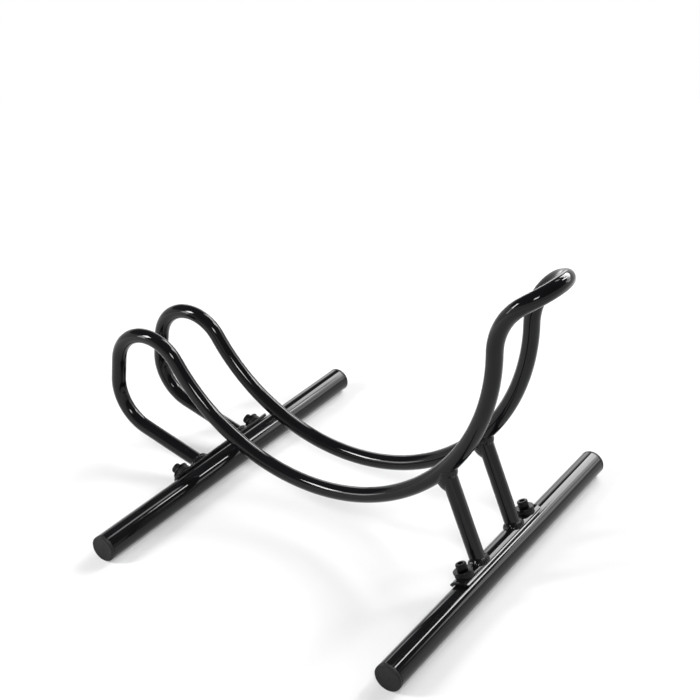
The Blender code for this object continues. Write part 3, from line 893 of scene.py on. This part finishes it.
# Materials
class Nodes:
    """Short hand for one material's node tree."""

    def __init__(self, name):
        self.material = bpy.data.materials.new(name)
        self.material.use_nodes = True
        self.tree = self.material.node_tree
        self.shader = self.tree.nodes["Principled BSDF"]
        self.place = self.tree.nodes.new("ShaderNodeTexCoord").outputs["Object"]

    def link(self, source, target):
        """Link from an output to an input."""
        self.tree.links.new(source, target)

    def feed(self, source, label):
        """Link from an output to one of the shader's inputs."""
        self.link(source, self.shader.inputs[label])

    def noise(self, pattern):
        """Noise value of a pattern, about 0.5 on average."""
        node = self.tree.nodes.new("ShaderNodeTexNoise")
        for label, number in zip(("Scale", "Detail", "Roughness"), pattern):
            node.inputs[label].default_value = number
        self.link(self.place, node.inputs["Vector"])
        return node.outputs["Fac"]

    def ramp(self, value, span):
        """Value carried over a range, and held outside it."""
        node = self.tree.nodes.new("ShaderNodeMapRange")
        for label, number in zip(("From Min", "From Max", "To Min", "To Max"), span):
            node.inputs[label].default_value = number
        self.link(value, node.inputs["Value"])
        return node.outputs["Result"]

    def maths(self, operation, first, second):
        """Result of a Math node on two values, each an output or a number."""
        node = self.tree.nodes.new("ShaderNodeMath")
        node.operation = operation
        for target, value in zip(node.inputs, (first, second)):
            if isinstance(value, (int, float)):
                target.default_value = value
            else:
                self.link(value, target)
        return node.outputs["Value"]

    def mix(self, share, first, second):
        """Colour between two colours, each an output or three numbers."""
        node = self.tree.nodes.new("ShaderNodeMix")
        node.data_type = "RGBA"
        self.link(share, node.inputs["Factor"])
        for number, value in zip(MIX_COLOUR_INPUTS, (first, second)):
            if isinstance(value, tuple):
                node.inputs[number].default_value = (*value, 1)
            else:
                self.link(value, node.inputs[number])
        return node.outputs[MIX_COLOUR_OUTPUT]

    def bump(self, height, distance, under=None):
        """Normal bent by a height, on top of another normal where one is given."""
        node = self.tree.nodes.new("ShaderNodeBump")
        node.inputs["Distance"].default_value = distance
        node.inputs["Strength"].default_value = 1.0
        self.link(height, node.inputs["Height"])
        if under is not None:
            self.link(under, node.inputs["Normal"])
        return node.outputs["Normal"]

    def facing_up(self):
        """How far a surface faces up, from -1 to 1."""
        geometry = self.tree.nodes.new("ShaderNodeNewGeometry")
        split = self.tree.nodes.new("ShaderNodeSeparateXYZ")
        self.link(geometry.outputs["True Normal"], split.inputs[0])
        return split.outputs["Z"]

    def edges(self):
        """Pointiness of the surface, about 0.5 where it is flat."""
        return self.tree.nodes.new("ShaderNodeNewGeometry").outputs["Pointiness"]


def gloss_paint(name, bead=False):
    """Gloss black powder coat: fine orange peel, faint smudges, a little dust on top."""
    n = Nodes(name)
    n.shader.inputs["IOR"].default_value = PAINT_IOR
    tint = n.mix(n.noise(PAINT_CLOUDS), *PAINT_COLOURS)
    dust = n.ramp(n.noise(DUST_SPECKS), DUST_RANGE)
    dust = n.maths("MULTIPLY", dust, n.ramp(n.facing_up(), DUST_TILT_RANGE))
    n.feed(n.mix(dust, tint, DUST_COLOUR), "Base Color")
    smudge = n.ramp(n.noise(SMUDGES), SMUDGE_ROUGHNESS)
    n.feed(n.maths("ADD", smudge, n.maths("MULTIPLY", dust, DUST_ROUGHNESS)), "Roughness")
    peel = n.bump(n.noise(PEEL), PEEL_HEIGHT)
    grain = n.bump(n.noise(PAINT_GRAIN), PAINT_GRAIN_HEIGHT, peel)
    if bead:
        grain = n.bump(n.noise(BEAD_GRAIN), BEAD_GRAIN_HEIGHT, grain)
    n.feed(grain, "Normal")
    return n.material


def moulded_plastic(name):
    """Satin black plastic with a fine moulded grain and scuffs along its rim."""
    n = Nodes(name)
    n.shader.inputs["IOR"].default_value = PLASTIC_IOR
    worn = n.ramp(n.edges(), SCUFF_EDGE_RANGE)
    worn = n.maths("MULTIPLY", worn, n.ramp(n.noise(SCUFFS), SCUFF_RANGE))
    tint = n.mix(n.noise(PLASTIC_CLOUDS), *PLASTIC_COLOURS)
    n.feed(n.mix(worn, tint, SCUFF_COLOUR), "Base Color")
    n.feed(n.ramp(n.noise(PLASTIC_PATCHES), PLASTIC_ROUGHNESS), "Roughness")
    n.feed(n.bump(n.noise(PLASTIC_GRAIN), PLASTIC_GRAIN_HEIGHT), "Normal")
    return n.material


def black_oxide(name):
    """Blackened screw steel: dull black, bare along the sharp edges, oily patches."""
    n = Nodes(name)
    n.shader.inputs["Metallic"].default_value = OXIDE_METALLIC
    n.shader.inputs["IOR"].default_value = OXIDE_IOR
    worn = n.ramp(n.edges(), OXIDE_EDGE_RANGE)
    tint = n.mix(n.noise(OXIDE_CLOUDS), *OXIDE_COLOURS)
    n.feed(n.mix(worn, tint, OXIDE_WORN_COLOUR), "Base Color")
    n.feed(n.ramp(n.noise(OXIDE_PATCHES), OXIDE_ROUGHNESS), "Roughness")
    n.feed(n.bump(n.noise(OXIDE_GRAIN), OXIDE_GRAIN_HEIGHT), "Normal")
    return n.material


def plated_steel(name, dark, light, rubbed):
    """Plated washer or insert steel, cloudy, with rubbed edges."""
    n = Nodes(name)
    n.shader.inputs["Metallic"].default_value = 1.0
    worn = n.ramp(n.edges(), PLATE_EDGE_RANGE)
    tint = n.mix(n.noise(PLATE_CLOUDS), dark, light)
    n.feed(n.mix(worn, tint, rubbed), "Base Color")
    n.feed(n.ramp(n.noise(PLATE_PATCHES), PLATE_ROUGHNESS), "Roughness")
    n.feed(n.bump(n.noise(PLATE_GRAIN), PLATE_GRAIN_HEIGHT), "Normal")
    return n.material


def spacer_nylon(name):
    """Satin black nylon, cloudy, with a fine grain."""
    n = Nodes(name)
    n.shader.inputs["IOR"].default_value = NYLON_IOR
    n.feed(n.mix(n.noise(NYLON_CLOUDS), *NYLON_COLOURS), "Base Color")
    n.feed(n.ramp(n.noise(NYLON_PATCHES), NYLON_ROUGHNESS), "Roughness")
    n.feed(n.bump(n.noise(NYLON_GRAIN), NYLON_GRAIN_HEIGHT), "Normal")
    return n.material


# Stage
def aimed(item, place, aim, roll=0.0):
    """Points an item's -Z at a place, with its Y as near to up as can be."""
    item.location = place
    turn = (aim - place).to_track_quat("-Z", "Y")
    item.rotation_mode = "QUATERNION"
    item.rotation_quaternion = turn @ Quaternion((0, 0, 1), roll)
    return item


def make_camera():
    """Camera at the photograph's angle."""
    data = bpy.data.cameras.new("camera")
    data.lens = CAMERA_LENS
    item = bpy.data.objects.new("camera", data)
    bpy.context.scene.collection.objects.link(item)
    bpy.context.scene.camera = aimed(item, CAMERA_PLACE, CAMERA_AIM, CAMERA_ROLL)


def lamp(name, place, aim, size, radiance):
    """Rectangular soft lamp; size is along its own X and Y."""
    data = bpy.data.lights.new(name, "AREA")
    data.shape = "RECTANGLE"
    data.size, data.size_y = size
    data.energy = radiance * math.pi * data.size * data.size_y
    item = bpy.data.objects.new(name, data)
    bpy.context.scene.collection.objects.link(item)
    return aimed(item, place, aim)


def make_floor():
    """Pale floor that keeps soft shadows, and turns to plain white away from the stand."""
    half = FLOOR_SIZE / 2
    corners = [(-half, -half, 0), (half, -half, 0), (half, half, 0), (-half, half, 0)]
    n = Nodes("white_floor")
    n.tree.nodes.remove(n.shader)
    reach = n.tree.nodes.new("ShaderNodeVectorMath")
    reach.operation = "LENGTH"
    n.link(n.place, reach.inputs[0])
    away = n.ramp(reach.outputs["Value"], (FLOOR_FADE_START, FLOOR_FADE_END, 0.0, 1.0))
    diffuse = n.tree.nodes.new("ShaderNodeBsdfDiffuse")
    n.link(n.mix(away, FLOOR_COLOUR, FLOOR_FAR_COLOUR), diffuse.inputs["Color"])
    rays = n.tree.nodes.new("ShaderNodeLightPath").outputs
    seen = n.maths("MAXIMUM", rays["Is Glossy Ray"], rays["Is Transmission Ray"])
    seen = n.maths("MAXIMUM", rays["Is Camera Ray"], seen)
    glow = n.tree.nodes.new("ShaderNodeEmission")
    lift = n.ramp(away, (0.0, FLOOR_GLOW_SHARE, FLOOR_LIFT, 1.0))
    n.link(n.maths("MULTIPLY", seen, lift), glow.inputs["Strength"])
    both = n.tree.nodes.new("ShaderNodeAddShader")
    n.link(diffuse.outputs[0], both.inputs[0])
    n.link(glow.outputs[0], both.inputs[1])
    n.link(both.outputs[0], n.tree.nodes["Material Output"].inputs["Surface"])
    build_object("floor", corners, [(0, 1, 2, 3)], n.material)


def make_world():
    """Surroundings that change from the walls' colour to the ceiling's with height."""
    world = bpy.data.worlds.new("studio")
    bpy.context.scene.world = world
    world.use_nodes = True
    tree = world.node_tree
    place = tree.nodes.new("ShaderNodeTexCoord")
    split = tree.nodes.new("ShaderNodeSeparateXYZ")
    ramp = tree.nodes.new("ShaderNodeValToRGB")
    tree.links.new(place.outputs["Generated"], split.inputs[0])
    tree.links.new(split.outputs["Z"], ramp.inputs["Fac"])
    tree.links.new(ramp.outputs["Color"], tree.nodes["Background"].inputs["Color"])
    walls, ceiling = ramp.color_ramp.elements
    walls.position = WALLS_END
    walls.color = WALLS_COLOUR
    ceiling.position = CEILING_START
    ceiling.color = CEILING_COLOUR


def make_lamps():
    """Softbox panels on the left, and soft lamps on the camera's side."""
    ahead = (WALL_AIM - WALL_PLACE).normalized()
    right = ahead.cross(Vector((0, 0, 1))).normalized()
    up = right.cross(ahead)
    for name, along, rise, width, height, radiance in PANELS:
        place = WALL_PLACE + right * along + up * rise
        lamp(name, place, place + ahead, (width, height), radiance)
    for name, bearing, height, distance, size, radiance in NEAR_LAMPS:
        flat = polar(math.radians(bearing), math.cos(math.radians(height)))
        place = Vector((flat.x, flat.y, math.sin(math.radians(height)))) * distance
        lamp(name, place, Vector((0, 0, 0)), size, radiance)


def make_stage():
    """Camera, floor, world and lamps."""
    make_camera()
    make_floor()
    make_world()
    make_lamps()
    bpy.context.scene.view_settings.view_transform = "Standard"


# Stand
def make_bar_and_posts(paint, weld_paint):
    """Bent bar and its two posts, with the welds that hold them."""
    bent_bar(paint)
    for hand, side in (("right", 1), ("left", -1)):
        x = side * BAR_X
        post(hand + "_round_post", x, hand + "_post", paint)
        settled(foot_weld(hand + "_post_foot_weld", True, x, POST_RADIUS, weld_paint), "frame_paint")
        settled(top_weld(hand + "_post_top_weld", x, weld_paint), "frame_paint")
        settled(foot_weld(hand + "_bar_foot_weld", False, x, BAR_RADIUS, weld_paint), "frame_paint")


def make_corner(label, at_back, side, plastic, screw_steel, washer_steel, nylon, insert_steel):
    """Cap and fastener at one end of a base, and the look of its threaded insert."""
    end_cap(label + "cap", at_back, side, label + "end_cap", plastic)
    cap_screw(label + "screw", at_back, side, label + "cap_screw", screw_steel)
    washer(label + "flat_washer", at_back, side, label + "washer", washer_steel)
    curved_spacer(label + "spacer", at_back, side, label + "curved_spacer", nylon)
    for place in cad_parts[label + "threaded_insert"].material_slots:
        place.material = insert_steel


def make_stand():
    """Every piece of the stand, with its material."""
    paint = gloss_paint("gloss_black_paint")
    weld_paint = gloss_paint("gloss_black_paint_on_weld", True)
    plastic = moulded_plastic("satin_black_plastic")
    screw_steel = black_oxide("black_oxide_steel")
    washer_steel = plated_steel("black_zinc_steel", *BLACK_ZINC)
    insert_steel = plated_steel("zinc_plated_steel", *BRIGHT_ZINC)
    nylon = spacer_nylon("black_nylon")
    make_bar_and_posts(paint, weld_paint)
    for end, at_back in (("front", False), ("rear", True)):
        base_tube(end + "_tube", at_back, end + "_base_tube", paint)
        saddle(end + "_strap", at_back, end + "_saddle", paint)
        for hand, side in (("right", 1), ("left", -1)):
            make_corner(end + "_" + hand + "_", at_back, side,
                        plastic, screw_steel, washer_steel, nylon, insert_steel)


make_stand()
make_stage()
